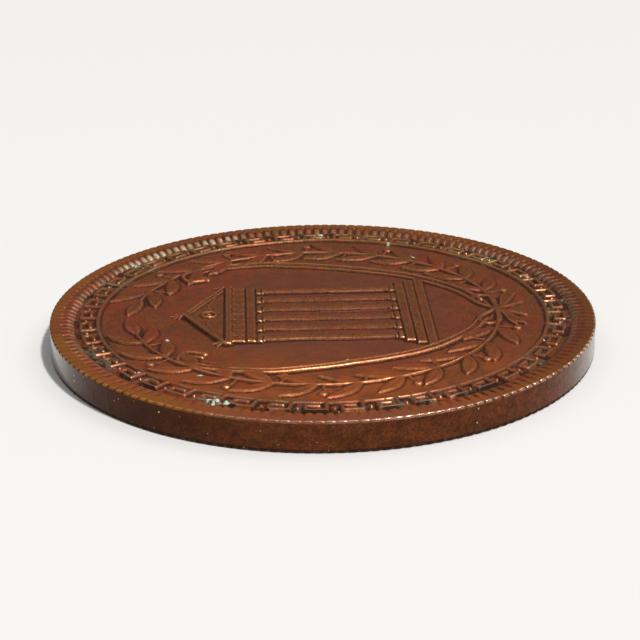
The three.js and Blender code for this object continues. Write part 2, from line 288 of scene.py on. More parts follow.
def leaf(origin, direction, length=LEAF_LENGTH, width=LEAF_WIDTH, height=LEAF_RELIEF, bend=0.0):
    """A pointed leaf with a creased midrib and faint side veins, bent to one side."""
    place, u, v = local(origin, direction, length * 1.1)
    t = u / length
    v = v - bend * length * 4 * np.clip(t, 0, 1) * (1 - np.clip(t, 0, 1))
    half = np.interp(t, LEAF_ALONG, LEAF_HALF, left=0, right=0) * width / 2 + 1e-6
    p = np.abs(v) / half
    swell = 0.7 + 0.3 * np.sin(np.pi * np.clip(t, 0, 1)) ** 0.7
    midrib = 0.34 * np.exp(-((v / 0.09) ** 2)) * ease((0.95 - t) / 0.25)
    veins = 0.05 * (0.5 + 0.5 * np.cos(2 * np.pi * (7 * t - 1.3 * p))) * ease(p / 0.3)
    h = 0.85 * height * swell * (0.86 + 0.14 * (1 - p)) * crown(p, 0.5) * (1 - midrib - veins)
    lay(place, np.where((t > 0) & (t < 1) & (p < 1), h, 0))


def polar(radius, degrees):
    return np.array([radius * math.cos(math.radians(degrees)), radius * math.sin(math.radians(degrees))])


def smooth_line(points, count):
    """A soft curve through points, as a Catmull-Rom spline with even steps in each stretch."""
    p = np.asarray(points, float)
    p = np.vstack([2 * p[0] - p[1], p, 2 * p[-1] - p[-2]])
    out = []
    for k in range(1, len(p) - 2):
        t = np.linspace(0, 1, count, endpoint=False)[:, None]
        a, b, c, d = p[k - 1 : k + 3]
        squared = 2 * a - 5 * b + 4 * c - d
        cubed = 3 * b - a - 3 * c + d
        out.append(0.5 * (2 * b + (c - a) * t + squared * t**2 + cubed * t**3))
    return np.vstack([*out, p[-2:-1]])


def offset_line(line, distance):
    """The line moved to its left by a distance."""
    run = np.gradient(line, axis=0)
    run /= np.linalg.norm(run, axis=1)[:, None]
    return line + distance * np.stack([-run[:, 1], run[:, 0]], 1)


def key_band():
    half = (KEY_WIDTH - KEY_STROKE) / 2
    top = BAND_OUTER - KEY_STROKE / 2
    hook = BAND_INNER + HOOK_RISE + KEY_STROKE / 2
    tip = half - (KEY_WIDTH - HOOK_LENGTH) + KEY_STROKE
    foot = BAND_INNER + KEY_STROKE / 2
    stroke = KEY_STROKE + KEY_SWELL
    corners = ((foot, half), (top, half), (top, -half), (hook, -half), (hook, tip))
    for i in range(KEYS):
        degrees = 360 * i / KEYS
        out, side = polar(1, degrees), polar(1, degrees + 90)
        line = [out * r + side * t for r, t in corners]
        ridge(line, stroke, BAND_RELIEF * rng.uniform(1 - KEY_UNEVEN, 1 + KEY_UNEVEN), KEY_FLAT)
        dome(polar(BAND_OUTER - PELLET_INSET, degrees + 180 / KEYS), PELLET_DIAMETER, BAND_RELIEF * 0.9)
    ridge([polar(foot, d) for d in range(0, 361, 3)], stroke, BAND_RELIEF, KEY_FLAT)
    # The punches left the ground between a little lower than the field.
    place, x, y = window(-BAND_OUTER - 0.3, BAND_OUTER + 0.3, -BAND_OUTER - 0.3, BAND_OUTER + 0.3)
    r = np.hypot(x, y)
    low = ease((r - BAND_INNER + 0.02) / 0.1) * ease((BAND_OUTER + 0.22 - r) / 0.15)
    relief[place] = np.where(relief[place] < 0.05, relief[place] - GROUND_DEPTH * low, relief[place])


def stem_point(degrees, side):
    radius = WREATH_LOW + (WREATH_HIGH - WREATH_LOW) * degrees / STEM_TIP
    return polar(radius, -90 + side * degrees)


def stem_direction(degrees, side):
    step = stem_point(degrees + 1, side) - stem_point(degrees, side)
    return math.atan2(step[1], step[0])


def leaf_degrees(i):
    return FIRST_LEAF + (LAST_LEAF - FIRST_LEAF) * i / (LEAF_NODES - 1)


def wreath():
    for side in (1, -1):
        line = [stem_point(d, side) for d in np.linspace(0, STEM_TIP, STEM_STEPS)]
        widths = np.linspace(STEM_WIDTH, STEM_TAPER * STEM_WIDTH, STEM_STEPS)
        for i in range(LEAF_NODES):
            degrees = leaf_degrees(i)
            origin = stem_point(degrees, side)
            direction = stem_direction(degrees, side)
            for aside in (1, -1):
                grown = 1 + rng.uniform(-0.05, 0.05)
                turned = direction + aside * math.radians(LEAF_SPREAD + rng.uniform(-3, 3))
                leaf(origin, turned, LEAF_LENGTH * grown, LEAF_WIDTH, LEAF_RELIEF, bend=0.05 * aside)
        ridge(line, widths, STEM_RELIEF * 1.25, 0.1)
        for i in range(LEAF_NODES):
            degrees = leaf_degrees(i)
            outward = -1 if i % 2 else 1
            foot = stem_point(degrees - BERRY_LAG, side)
            away = stem_direction(degrees, side) - side * outward * math.pi / 2
            middle = foot + BERRY_REACH * np.array([math.cos(away), math.sin(away)])
            bent = (foot + middle) / 2 + polar(0.12, 90 * side)
            ridge([foot, bent, middle], STALK_WIDTH, STALK_RELIEF, 0.0)
            dome(middle, BERRY_DIAMETER, BERRY_RELIEF, pit=0.6)
        leaf(stem_point(STEM_TIP - 1, side), stem_direction(STEM_TIP, side))


def mirrored(degrees, side):
    return degrees if side > 0 else 180 - degrees


def ways(turn, side):
    """The directions along and aside of a part of the bow that leaves the knot at this turn."""
    way = mirrored(turn, side)
    return polar(1, way), polar(1, way + 90 * side)


def bow():
    knot = np.array([0, -WREATH_LOW])
    for side in (1, -1):
        end = knot + polar(STEM_END, mirrored(STEM_END_TURN, side))
        ridge([knot, end], [0.5, 0.66], STEM_RELIEF, 0.2)
        out, up = ways(TAIL_TURN, side)
        top = smooth_line([knot + out * along + up * aside for along, aside in TAIL_TOP], 8)
        low = smooth_line([knot + out * along + up * aside for along, aside in TAIL_LOW], 8)
        plate([*top, knot + out * TAIL_NOTCH, *low[::-1]], 0.2)
        ridge(top, RIBBON_HEM, RIBBON_RELIEF, 0.1)
        ridge(low, RIBBON_HEM, RIBBON_RELIEF, 0.1)
        ridge([knot + out, knot + out * 4.2], [0.16, 0.22], [0.26, 0.24], 0.0)
        out, up = ways(LOOP_TURN, side)
        outline = smooth_line([knot + out * along + up * aside for along, aside in LOOP], 8)
        ridge(outline, 0.5, 0.32, 0.3)
        furrow(outline, 0.16, 0.07)
        ridge([knot + out * 1.6, knot + out * 3.2], [0.14, 0.3], [0.2, 0.12], 0.0)
    dome(knot, 1.6, 0.4, 0.9)
    for lean in (-0.35, 0, 0.35):
        furrow([knot + (lean, -0.7), knot + (lean, 0.7)], 0.16, 0.07)


def ribs():
    for side in (1, -1):
        line = smooth_line([(side * x * WREATH_LOW, y * WREATH_LOW) for x, y in RIB_LINE], 10)
        ridge(line, RIB_WIDTH, RIB_RELIEF, 0.2)
        ridge(offset_line(line, side * NARROW_RIB_OFFSET), NARROW_RIB_WIDTH, NARROW_RIB_RELIEF, 0.1)
        ridge(offset_line(line, side * BETWEEN_RIBS_OFFSET), 0.5, BETWEEN_RIBS_RELIEF, 0.5)
        dome(line[-1], CURL_END, RIB_RELIEF + 0.02)


def steps():
    for i in range(STEPS):
        half = TEMPLE_WIDTH / 2 - i * STEP_INSET
        low = TEMPLE_FOOT + i * STEP_HEIGHT
        high = low + STEP_HEIGHT
        block(-half, half, low, high, STEP_RELIEF + STEP_RISE * i)
        block(-half, half, high - NOSING_HEIGHT, high, NOSING_RELIEF + STEP_RISE * i, 0.1)


def wall():
    """The wall behind the columns, its courses and a door in the middle bay."""
    half = HALF_BEAM - PLINTH_WIDTH
    block(-half, half, TOP_STEP, HEAD, WALL_RELIEF, 0.1)
    for k in range(1, WALL_COURSES):
        y = TOP_STEP + k * COLUMN_HEIGHT / WALL_COURSES
        furrow([(-half, y), (half, y)], 0.14, 0.035)
    block(-0.62, 0.62, TOP_STEP, TOP_STEP + 0.62 * COLUMN_HEIGHT, 0.13, 0.1)
    place, x, _ = window(-0.42, 0.42, TOP_STEP, TOP_STEP + DOOR_SHARE * COLUMN_HEIGHT)
    relief[place] = np.where(np.abs(x) < 0.4, 0.02, relief[place])


def column(x):
    """A fluted shaft that tapers upwards, with a plinth, a collar at each end and an abacus."""
    half = PLINTH_WIDTH / 2
    collar = half * COLLAR_SHARE
    base, neck = TOP_STEP + PLINTH_HEIGHT, HEAD - PLINTH_HEIGHT
    for low in (TOP_STEP, neck):
        block(x - half, x + half, low, low + PLINTH_HEIGHT, PLINTH_RELIEF, 0.1)
    for low, high in ((base - 0.05, base + COLLAR_HEIGHT), (neck - COLLAR_HEIGHT, neck + 0.05)):
        block(x - collar, x + collar, low, high, COLLAR_RELIEF, 0.14)
    low, high = base + 0.2, neck - 0.2
    place, cx, cy = window(x - 0.8, x + 0.8, low, high)
    t = (cy - low) / (high - low)
    radius = COLUMN_DIAMETER / 2 * (1 - COLUMN_TAPER * np.maximum(t, 0) ** 1.6)
    u = (cx - x) / radius
    around = np.arcsin(np.clip(u, -1, 1))
    flutes = 0.07 * (0.5 + 0.5 * np.cos(around * FLUTES)) * ease((1 - np.abs(u)) / 0.25)
    shaft = COLUMN_RELIEF * crown(u) * (1 - flutes * 2.2)
    lay(place, np.where((np.abs(u) < 1) & (t >= 0), shaft, 0))


def beams():
    """The architrave, the frieze with its triglyphs and roundels, and the cornice with its dentils."""
    block(-HALF_BEAM, HALF_BEAM, HEAD, HEAD + ARCHITRAVE, BEAM_RELIEF)
    for share in (0.36, 0.7):
        y = HEAD + share * ARCHITRAVE
        furrow([(-HALF_BEAM, y), (HALF_BEAM, y)], 0.12, 0.06)
    block(-HALF_BEAM, HALF_BEAM, FRIEZE_FOOT, CORNICE_FOOT, 0.24, 0.1)
    half = TRIGLYPH_WIDTH / 2
    step = (BEAM_WIDTH - TRIGLYPH_WIDTH) / (TRIGLYPHS - 1)
    for i in range(TRIGLYPHS):
        x = (i / (TRIGLYPHS - 1) - 0.5) * (BEAM_WIDTH - TRIGLYPH_WIDTH)
        block(x - half, x + half, FRIEZE_FOOT, CORNICE_FOOT, TRIGLYPH_RELIEF, 0.08)
        for lean in (-0.125, 0.125):
            furrow([(x + lean, FRIEZE_FOOT + 0.12), (x + lean, CORNICE_FOOT - 0.28)], 0.13, 0.12)
        if i < TRIGLYPHS - 1:
            dome((x + step / 2, FRIEZE_FOOT + FRIEZE / 2), 0.42, 0.33)
    block(-HALF_CORNICE, HALF_CORNICE, CORNICE_FOOT, GABLE_FOOT, CORNICE_RELIEF)
    furrow([(-HALF_CORNICE, CORNICE_FOOT + 0.3), (HALF_CORNICE, CORNICE_FOOT + 0.3)], 0.14, 0.1)
    for k in range(CORNICE_DENTILS):
        x = (k / (CORNICE_DENTILS - 1) - 0.5) * 2 * (HALF_CORNICE - 0.25)
        block(x - 0.11, x + 0.11, CORNICE_FOOT - 0.12, CORNICE_FOOT + 0.16, 0.37, 0.06)


def gable():
    """The pediment's face, its two raking mouldings and the palm sprays on its corners and top."""
    plate([(-HALF_CORNICE, GABLE_FOOT), (HALF_CORNICE, GABLE_FOOT), APEX], 0.13, 0.1)
    rake = math.hypot(HALF_CORNICE, PEDIMENT_HEIGHT)
    for side in (1, -1):
        corner = np.array([side * HALF_CORNICE, GABLE_FOOT])
        run = (APEX - corner) / np.linalg.norm(APEX - corner)
        down = np.array([-side * PEDIMENT_HEIGHT, -HALF_CORNICE]) / rake
        outer, inner = down * 0.22, down * 0.58
        ridge([corner + outer + run * 0.2, APEX + outer], 0.4, 0.43, 0.4)
        ridge([corner + inner + run * 1.5, APEX + inner], 0.26, 0.36, 0.3)
        foot = (side * (HALF_CORNICE - 0.45), GABLE_FOOT)
        for lean, length in CORNER_SPRAY:
            ridge([foot, foot + polar(length, 90 + lean)], [0.3, 0.16], [0.37, 0.3], 0.0)
    foot = APEX - (0, 0.15)
    for lean, length in TOP_SPRAY:
        ridge([foot, foot + polar(length, 90 + lean)], [0.3, 0.15], [0.4, 0.3], 0.0)


def boss():
    """The ringed boss in the pediment, with a leafy tendril on either side."""
    middle = np.array([0, GABLE_FOOT + 0.36 * PEDIMENT_HEIGHT])
    ridge([middle + polar(0.76, d) for d in range(0, 361, 15)], 0.34, 0.37, 0.1)
    dome(middle, 0.7, 0.36)
    for side in (1, -1):
        line = smooth_line([middle + (side * along, up) for along, up in TENDRIL], 8)
        ridge(line, np.linspace(0.3, 0.14, len(line)), 0.27, 0.0)
        for k in (4, 8, 12, 16):
            direction = math.atan2(*(line[k + 1] - line[k])[::-1])
            for lean in (0.5, -0.5):
                leaf(line[k], direction + lean, 1.1, 0.42, 0.27)


def temple():
    steps()
    wall()
    pitch = (BEAM_WIDTH - PLINTH_WIDTH) / (COLUMNS - 1)
    for i in range(COLUMNS):
        column((i - (COLUMNS - 1) / 2) * pitch)
    beams()
    gable()
    boss()


def blurred(a, sigma):
    """a, softened by a Gaussian of this many millimetres."""
    n = max(1, int(math.ceil(3 * sigma / CELL)))
    kernel = np.exp(-0.5 * (np.arange(-n, n + 1) * CELL / sigma) ** 2)
    kernel /= kernel.sum()
    size = a.shape[0]
    centred = np.exp(2j * np.pi * np.arange(size // 2 + 1) * n / size)
    spectrum = (np.fft.rfft(kernel, size) * centred)[:, None]
    a = np.fft.irfft(np.fft.rfft(a, axis=0) * spectrum, size, axis=0)
    return np.fft.irfft(np.fft.rfft(a.T, axis=0) * spectrum, size, axis=0).T


def cloud(size, seed):
    """A soft random pattern about 1 high and low, whose blobs are so many millimetres across."""
    made = np.random.default_rng(seed).normal(size=(CELLS, CELLS))
    made = blurred(made, size / 2.5)
    return made / made.std()


key_band()
wreath()
bow()
ribs()
temple()
relief = blurred(relief, 0.045)
# The die left the field and the relief a little uneven.
uneven = 0.012 * cloud(2.4, 3) + 0.009 * cloud(0.9, 4) + 0.003 * cloud(0.3, 5)
# How proud each place is of those round it, how sheltered it is, and how high it is.
near = blurred(relief, 0.13)
wide_near = blurred(relief, 0.6)
crest_map = np.clip((relief - near) / 0.045, -1.5, 1.5)
hollow_map = np.clip((near - relief) / 0.065 + (wide_near - relief) / 0.3, 0, 1.4)
raised_map = np.clip(relief / 0.22, 0, 1)
# Chips of verdigris: where each one's middle is, and how far it reaches.
CHIPS = [
    (-22.5, 11.2, 0.62), (-22.9, 10.2, 0.36), (-7.1, 16.1, 0.2), (-12.8, -1.9, 0.17), (25.0, -0.8, 0.4),
    (24.3, 1.4, 0.2), (21.6, -8.6, 0.17), (-15.9, 12.6, 0.2), (17.2, -11.0, 0.2), (9.8, -23.1, 0.2),
]
chip_map = np.zeros_like(relief)
ragged = cloud(0.28, 6)
for chip_x, chip_y, reach in CHIPS:
    place, x, y = window(chip_x - 2 * reach, chip_x + 2 * reach, chip_y - 2 * reach, chip_y + 2 * reach)
    away = np.hypot(x - chip_x, y - chip_y) / reach + 0.3 * ragged[place]
    chip_map[place] = np.maximum(chip_map[place], ease((1 - away) / 0.35))
relief_map = relief + uneven + 0.05 * chip_map * (1 + 0.4 * ragged)


def sampled(a, x, y):
    """What a map says at these places, between its cells too."""
    u = np.clip((x + HALF_MAP) / CELL, 0, CELLS - 1.001)
    v = np.clip((y + HALF_MAP) / CELL, 0, CELLS - 1.001)
    i, j = u.astype(int), v.astype(int)
    fu, fv = u - i, v - j
    low_row = a[j, i] * (1 - fu) + a[j, i + 1] * fu
    high_row = a[j + 1, i] * (1 - fu) + a[j + 1, i + 1] * fu
    return low_row * (1 - fv) + high_row * fv


# The rim's grooves: a groove's width as a share of the pitch, and its (change, start, over) outwards.
GROOVE_WIDTH = 0.66
GROOVE_TAPERS = [(-0.1, 0, 0.4), (-0.2, 0.5, 0.16), (0.26, 0.92, 0.07)]
GROOVE_DEPTH = 0.05
SLOT_DEPTH = 0.3
SLOT_END = DENTIL_RADIUS + 1.65
END_DROP = 0.44
END_CURVE = 1.35
BEAD_RISE = 0.03
NOTCH_START = MEDAL_RADIUS - 0.26
OBVERSE_EDGE = {"drop": 0.11, "reach": 0.15, "notch": 0.16, "smoothed": 0.6}
REVERSE_EDGE = {"drop": 0.3, "reach": 0.3, "notch": 0.16, "smoothed": 0.0}
# The directions, in degrees from +X, in which the rim is worn in one way or another, and in which its
# corner and its dentils' ends carry painted highlights.
SMOOTH_SIDE = 172
PLAIN_CORNER_SIDE = 8
BRIGHT_CORNER_SIDE = 225
GLINTING_ENDS_SIDE = 39


def facing(angle, degrees, start, over):
    """1 towards a direction and 0 away from it, rising where the cosine to it passes start."""
    return ease((np.cos(angle - math.radians(degrees)) - start) / over)


def groove_at(radius, angle):
    """How deep in a groove between dentils each point is, 0 to 1, and how deep that groove is cut."""
    place = angle * DENTILS / (2 * math.pi)
    off = np.abs((place + 0.5) % 1 - 0.5) * 2
    which = np.floor(place + 0.5) % DENTILS
    cut = 1 + 0.25 * np.sin(which * 2.399) + 0.15 * np.sin(which * 0.61 + 1)
    out = np.clip((radius - DENTIL_RADIUS) / DENTIL_LENGTH, 0, 1)
    width = GROOVE_WIDTH
    for change, start, over in GROOVE_TAPERS:
        width = width + change * ease((out - start) / over)
    return ease(1 - off / width), cut


def slot_at(radius, cut):
    """1 where the grooves are deep slots, 0 on the flat outer rim."""
    return ease((SLOT_END + 0.25 * (cut - 1) - radius) / 0.3)


def smoothed_at(angle):
    """1 where the obverse's rim is worn nearly smooth, at one side."""
    return facing(angle, SMOOTH_SIDE, 0.79, 0.1)


def notched_at(angle):
    """How deep the grooves run out over the rim's corner: hardly at all across from the worn side."""
    return 1 - 0.93 * facing(angle, PLAIN_CORNER_SIDE, 0.1, 0.4)


def end_share(radius):
    """1 at a dentil's inner end, 0 from where its top is level."""
    return np.clip(1 - (radius - DENTIL_RADIUS) / DENTIL_SHOULDER, 0, 1)


def rim_drop(radius, angle, drop, reach, notch, smoothed):
    """How far a rim lies below its full height: grooves, sloping dentil ends and a rounded edge."""
    groove, cut = groove_at(radius, angle)
    cut = cut * (1 - smoothed * smoothed_at(angle))
    end = end_share(radius)
    slope = END_DROP * end**END_CURVE
    bead = -BEAD_RISE * (1 - groove) * np.sin(math.pi * end)
    depth = (GROOVE_DEPTH + SLOT_DEPTH * slot_at(radius, cut)) * cut
    out = ease((radius - NOTCH_START) / 0.2)
    over = np.clip((radius - MEDAL_RADIUS) / reach + 1, 0, 1)
    edge = drop * (1 - np.sqrt(np.maximum(1 - over**2, 0)))
    cut_in = groove * (depth + notch * notched_at(angle) * out * cut)
    return np.minimum(slope + bead + cut_in + edge, FIELD_DEPTH + 0.04)


def obverse_field(radius, angle):
    return FIELD_TOP + sampled(relief_map, radius * np.cos(angle), radius * np.sin(angle))


def reverse_field(radius, angle):
    return FIELD_DEPTH - 0.6 * sampled(uneven, radius * np.sin(angle), radius * np.cos(angle))


def foot_share(radius):
    """0 on the field and 1 on the rim, with a short steep foot between."""
    return ease((radius - (DENTIL_RADIUS - 0.06)) / 0.18)


def obverse_height(radius, angle):
    field = obverse_field(radius, angle)
    rim = THICKNESS - rim_drop(radius, angle, **OBVERSE_EDGE)
    return field + (rim - field) * foot_share(radius)


def reverse_height(radius, angle):
    field = reverse_field(radius, angle)
    rim = rim_drop(radius, angle, **REVERSE_EDGE)
    return field + (rim - field) * foot_share(radius)


def even_rings(start, end, step):
    count = max(1, int(round(abs(end - start) / step)))
    return list(np.linspace(start, end, count, endpoint=False))


def ring_surface(stack):
    """The surface through a stack of rings: (radius, how many points, height of a point) each."""
    places, rings, faces = [], [], []
    total = 0
    for radius, count, level in stack:
        angle = np.arange(count) * 2 * math.pi / count
        z = level(np.full(count, radius), angle)
        places.append(np.stack([radius * np.cos(angle), radius * np.sin(angle), z], 1))
        rings.append((total, count))
        total += count
    pairs = list(zip(rings[:-1], rings[1:]))
    if stack[0][0] == stack[-1][0]:
        pairs.append((rings[-1], rings[0]))
    for (a, n), (b, m) in pairs:
        k = np.arange(min(n, m))
        if n == m:
            i, j, p, q = a + k, a + (k + 1) % n, b + k, b + (k + 1) % n
            faces += [np.stack([i, p, j], 1), np.stack([j, p, q], 1)]
        elif m > n:
            i, j = a + k, a + (k + 1) % n
            p, h, q = b + 2 * k, b + 2 * k + 1, b + (2 * k + 2) % m
            faces += [np.stack([i, p, h], 1), np.stack([i, h, j], 1), np.stack([j, h, q], 1)]
        else:
            i, h, j = a + 2 * k, a + 2 * k + 1, a + (2 * k + 2) % n
            p, q = b + k, b + (k + 1) % m
            faces += [np.stack([i, p, h], 1), np.stack([h, p, q], 1), np.stack([h, q, j], 1)]
    return np.vstack(places), np.vstack(faces), rings


def flat(level):
    return lambda radius, angle: np.full(radius.shape, float(level))


# How many points go round the finest rings, and where the rim starts inside its dentils.
FINE = 10 * DENTILS
FOOT = DENTIL_RADIUS - 0.08


def rim_mesh():
    """The dentilled rim as a ring of its own, closed on the inside where the fields run into it."""
    near_edge = [MEDAL_RADIUS - d for d in (0.2, 0.14, 0.08, 0.035, 0.008)]
    foot_wall = [DENTIL_RADIUS + d for d in (-0.04, 0.0, 0.04, 0.08, 0.12)]
    across = even_rings(DENTIL_RADIUS + 0.2, MEDAL_RADIUS - 0.24, 0.17)
    stack = [(FOOT, FINE, flat(FIELD_TOP - 0.06))]
    stack += [(r, FINE, obverse_height) for r in foot_wall + across + near_edge]
    stack += [(MEDAL_RADIUS, FINE, flat(THICKNESS - d)) for d in (0.32, 0.38, 0.55)]
    stack += [(MEDAL_RADIUS, FINE, flat(level)) for level in (THICKNESS / 2, 0.6, 0.42, 0.36)]
    sparse = even_rings(DENTIL_RADIUS + 0.2, MEDAL_RADIUS - 0.24, 0.3)
    stack += [(r, FINE, reverse_height) for r in (foot_wall + sparse + near_edge)[::-1]]
    stack += [(FOOT, FINE, flat(FIELD_DEPTH + 0.06))]
    places, faces, _ = ring_surface(stack)
    return places, faces


def field_mesh():
    """Both fields with the obverse's relief, as a disc that runs in under the rim."""
    outer = DENTIL_RADIUS + 0.02
    stack = [(r, FINE // 4, obverse_field) for r in even_rings(0.13, 11.0, 0.13)]
    stack += [(r, FINE // 2, obverse_field) for r in even_rings(11.0, BAND_INNER - 0.2, 0.115)]
    stack += [(r, FINE, obverse_field) for r in even_rings(BAND_INNER - 0.2, outer, 0.1)]
    stack += [(outer, FINE, obverse_field), (outer, FINE, reverse_field)]
    stack += [(r, FINE // 2, reverse_field) for r in even_rings(outer - 0.4, 14.0, 0.8)]
    stack += [(r, FINE // 4, reverse_field) for r in even_rings(14.0, 0.6, 1.2)]
    places, faces, rings = ring_surface(stack)
    caps = []
    for (first, n), level, back in ((rings[0], obverse_field, False), (rings[-1], reverse_field, True)):
        middle = len(places) + len(caps)
        k = np.arange(n)
        rim_pair = [first + k, first + (k + 1) % n]
        if back:
            rim_pair.reverse()
        faces = np.vstack([faces, np.stack([np.full(n, middle), *rim_pair], 1)])
        caps.append([0, 0, level(np.zeros(1), np.zeros(1))[0]])
    return np.vstack([places, caps]), faces


def new_mesh(name, places, triangles):
    mesh = bpy.data.meshes.new(name)
    mesh.vertices.add(len(places))
    mesh.vertices.foreach_set("co", np.ascontiguousarray(places * MM, np.float32).ravel())
    mesh.loops.add(triangles.size)
    mesh.loops.foreach_set("vertex_index", np.ascontiguousarray(triangles, np.int32).ravel())
    mesh.polygons.add(len(triangles))
    mesh.polygons.foreach_set("loop_start", np.arange(0, triangles.size, 3, dtype=np.int32))
    mesh.polygons.foreach_set("loop_total", np.full(len(triangles), 3, np.int32))
    mesh.update()
    mesh.validate()
    return mesh


# Where the wall lies between the two worn corners, and how dark the darkest dirt and painted shade are.
WALL_LOW = 0.4
WALL_HIGH = THICKNESS - 0.26
DARKEST_DIRT_AND_SHADE = 1.4


def crevice_dirt_and_shade(angle):
    """The dirt and painted shade in the crevice between the band and the dentils, which lie in broken
    lengths.
    """
    return 0.45 + 0.85 * ease((np.sin(29 * angle + 2.1 * np.sin(11 * angle)) + 0.35) / 0.6)


def rim_wear_and_light(radius, angle):
    """How bright the rim is with wear and painted highlights, how golden, how dark with dirt and painted
    shade, and where its grooves and its corner are.
    """
    groove, cut = groove_at(radius, angle)
    corner = ease((radius - (MEDAL_RADIUS - 0.17)) / 0.08)
    end = end_share(radius)
    bead = 4 * end * (1 - end) * (1 - groove)
    # The corner is worn on one side and painted bright there as a highlight, and the dentils' ends across
    # from it carry painted glints.
    worn_and_highlit = facing(angle, BRIGHT_CORNER_SIDE, 0.25, 0.35)
    which = np.floor(angle * DENTILS / (2 * math.pi) + 0.5)
    scattered = np.modf(np.abs(np.sin(which * 12.99)) * 437.6)[0]
    glint_share = 0.12 + 0.88 * facing(angle, GLINTING_ENDS_SIDE, 0.92, 0.06) * (0.4 + 0.6 * scattered)
    bright_wear_and_glint = np.maximum(corner * (1 - 0.7 * groove) * worn_and_highlit, bead * glint_share)
    golden = corner * (1 - groove) * (1 - worn_and_highlit)
    # The grooves hold dirt and painted shade, darkest in the slots and in the notches over the corner.
    dirt_and_shade = groove * np.maximum(0.74 + 0.6 * slot_at(radius, cut), DARKEST_DIRT_AND_SHADE * corner)
    dirt_and_shade = dirt_and_shade * (1 - 0.6 * smoothed_at(angle)) * (0.55 + 0.45 * notched_at(angle))
    dirt_and_shade = np.maximum(dirt_and_shade, 0.5 * (1 - glint_share) * bead)
    dirt_and_shade = np.maximum(dirt_and_shade, crevice_dirt_and_shade(angle) * ease((end - 0.72) / 0.2))
    return bright_wear_and_glint, golden, dirt_and_shade, groove, corner


def wear_and_light_marks(px, py, pz):
    """How proud, how sheltered and on which part of the medal each point is, by the marks' names."""
    radius = np.hypot(px, py)
    angle = np.arctan2(py, px)
    level = np.abs(pz - THICKNESS / 2)
    up = pz > THICKNESS / 2
    on_rim = radius > DENTIL_RADIUS - 0.02
    on_wall = (radius > MEDAL_RADIUS - 0.02) & (pz > WALL_LOW) & (pz < WALL_HIGH)
    in_crevice = (radius > DENTIL_RADIUS - 0.4) & ~on_rim
    on_face = up & ~on_rim
    on_edge = up & on_rim & ~on_wall
    bright_wear_and_glint, golden, dirt_and_shade, groove, corner = rim_wear_and_light(radius, angle)
    crest = np.where(up, sampled(crest_map, px, py), 0)
    crest = np.where(on_rim, 0.2 * (1 - 2 * groove), crest)
    hollow = np.where(up, sampled(hollow_map, px, py), 0)
    hollow = hollow * (1 - 0.15 * (radius > BAND_INNER - 0.2))
    hollow = np.where(on_rim, dirt_and_shade, hollow)
    # The reverse's rounded corner is painted near black: a painted contact shadow along the floor.
    hollow = np.where(~up & (corner > 0), DARKEST_DIRT_AND_SHADE * corner, hollow)
    # The crevice inside the dentils is painted dark: partly dirt, partly painted shadow of the letters.
    hollow = np.where(in_crevice, crevice_dirt_and_shade(angle), hollow)
    in_band = ease((radius - BAND_INNER + 0.35) / 0.5) * (radius < DENTIL_RADIUS + 0.5)
    # The edge mark holds bright wear with painted highlights and glints; the hollow mark holds dirt and
    # painted shade.
    return {
        "edge": np.where(on_edge, bright_wear_and_glint, 0),
        "gilt": np.where(on_edge, golden, 0),
        "inner": ease((16 - radius) / 5) * up,
        "outer": np.where(on_rim, ease((radius - (MEDAL_RADIUS - 1.5)) / 0.6), 0),
        "crest": np.where(on_wall, 0, crest),
        "hollow": np.where(on_wall, 0, hollow),
        "raised": np.where(on_face, sampled(raised_map, px, py), 0),
        "chip": np.where(on_face, sampled(chip_map, px, py), 0),
        "rim": ease((radius - DENTIL_RADIUS + 0.1) / 0.2),
        "band": in_band * up,
        "wall": np.where(level < THICKNESS / 2 - 0.2, ease((radius - MEDAL_RADIUS + 0.03) / 0.02), 0),
    }


def mark_wear_and_light(mesh):
    points = np.empty(3 * len(mesh.vertices), np.float32)
    mesh.vertices.foreach_get("co", points)
    px, py, pz = (points.reshape(-1, 3) / MM).T.astype(float)
    for name, values in wear_and_light_marks(px, py, pz).items():
        made = mesh.attributes.new(name, "FLOAT", "POINT")
        made.data.foreach_set("value", np.ascontiguousarray(values, np.float32))


def thinned(mesh, most):
    """The mesh with no more than so many triangles, kept where the surface curves."""
    made = bpy.data.objects.new(mesh.name, mesh)
    bpy.context.scene.collection.objects.link(made)
    made.modifiers.new("thin", "DECIMATE").ratio = min(1, most / len(mesh.polygons))
    bpy.context.view_layer.update()
    kept = bpy.data.meshes.new_from_object(made.evaluated_get(bpy.context.evaluated_depsgraph_get()))
    bpy.data.objects.remove(made)
    bpy.data.meshes.remove(mesh)
    return kept


def set_inputs(node, inputs):
    """Gives each of these inputs of a node a value, or what another node puts out."""
    for name, value in inputs.items():
        if isinstance(value, bpy.types.NodeSocket):
            node.id_data.links.new(value, node.inputs[name])
        else:
            node.inputs[name].default_value = value


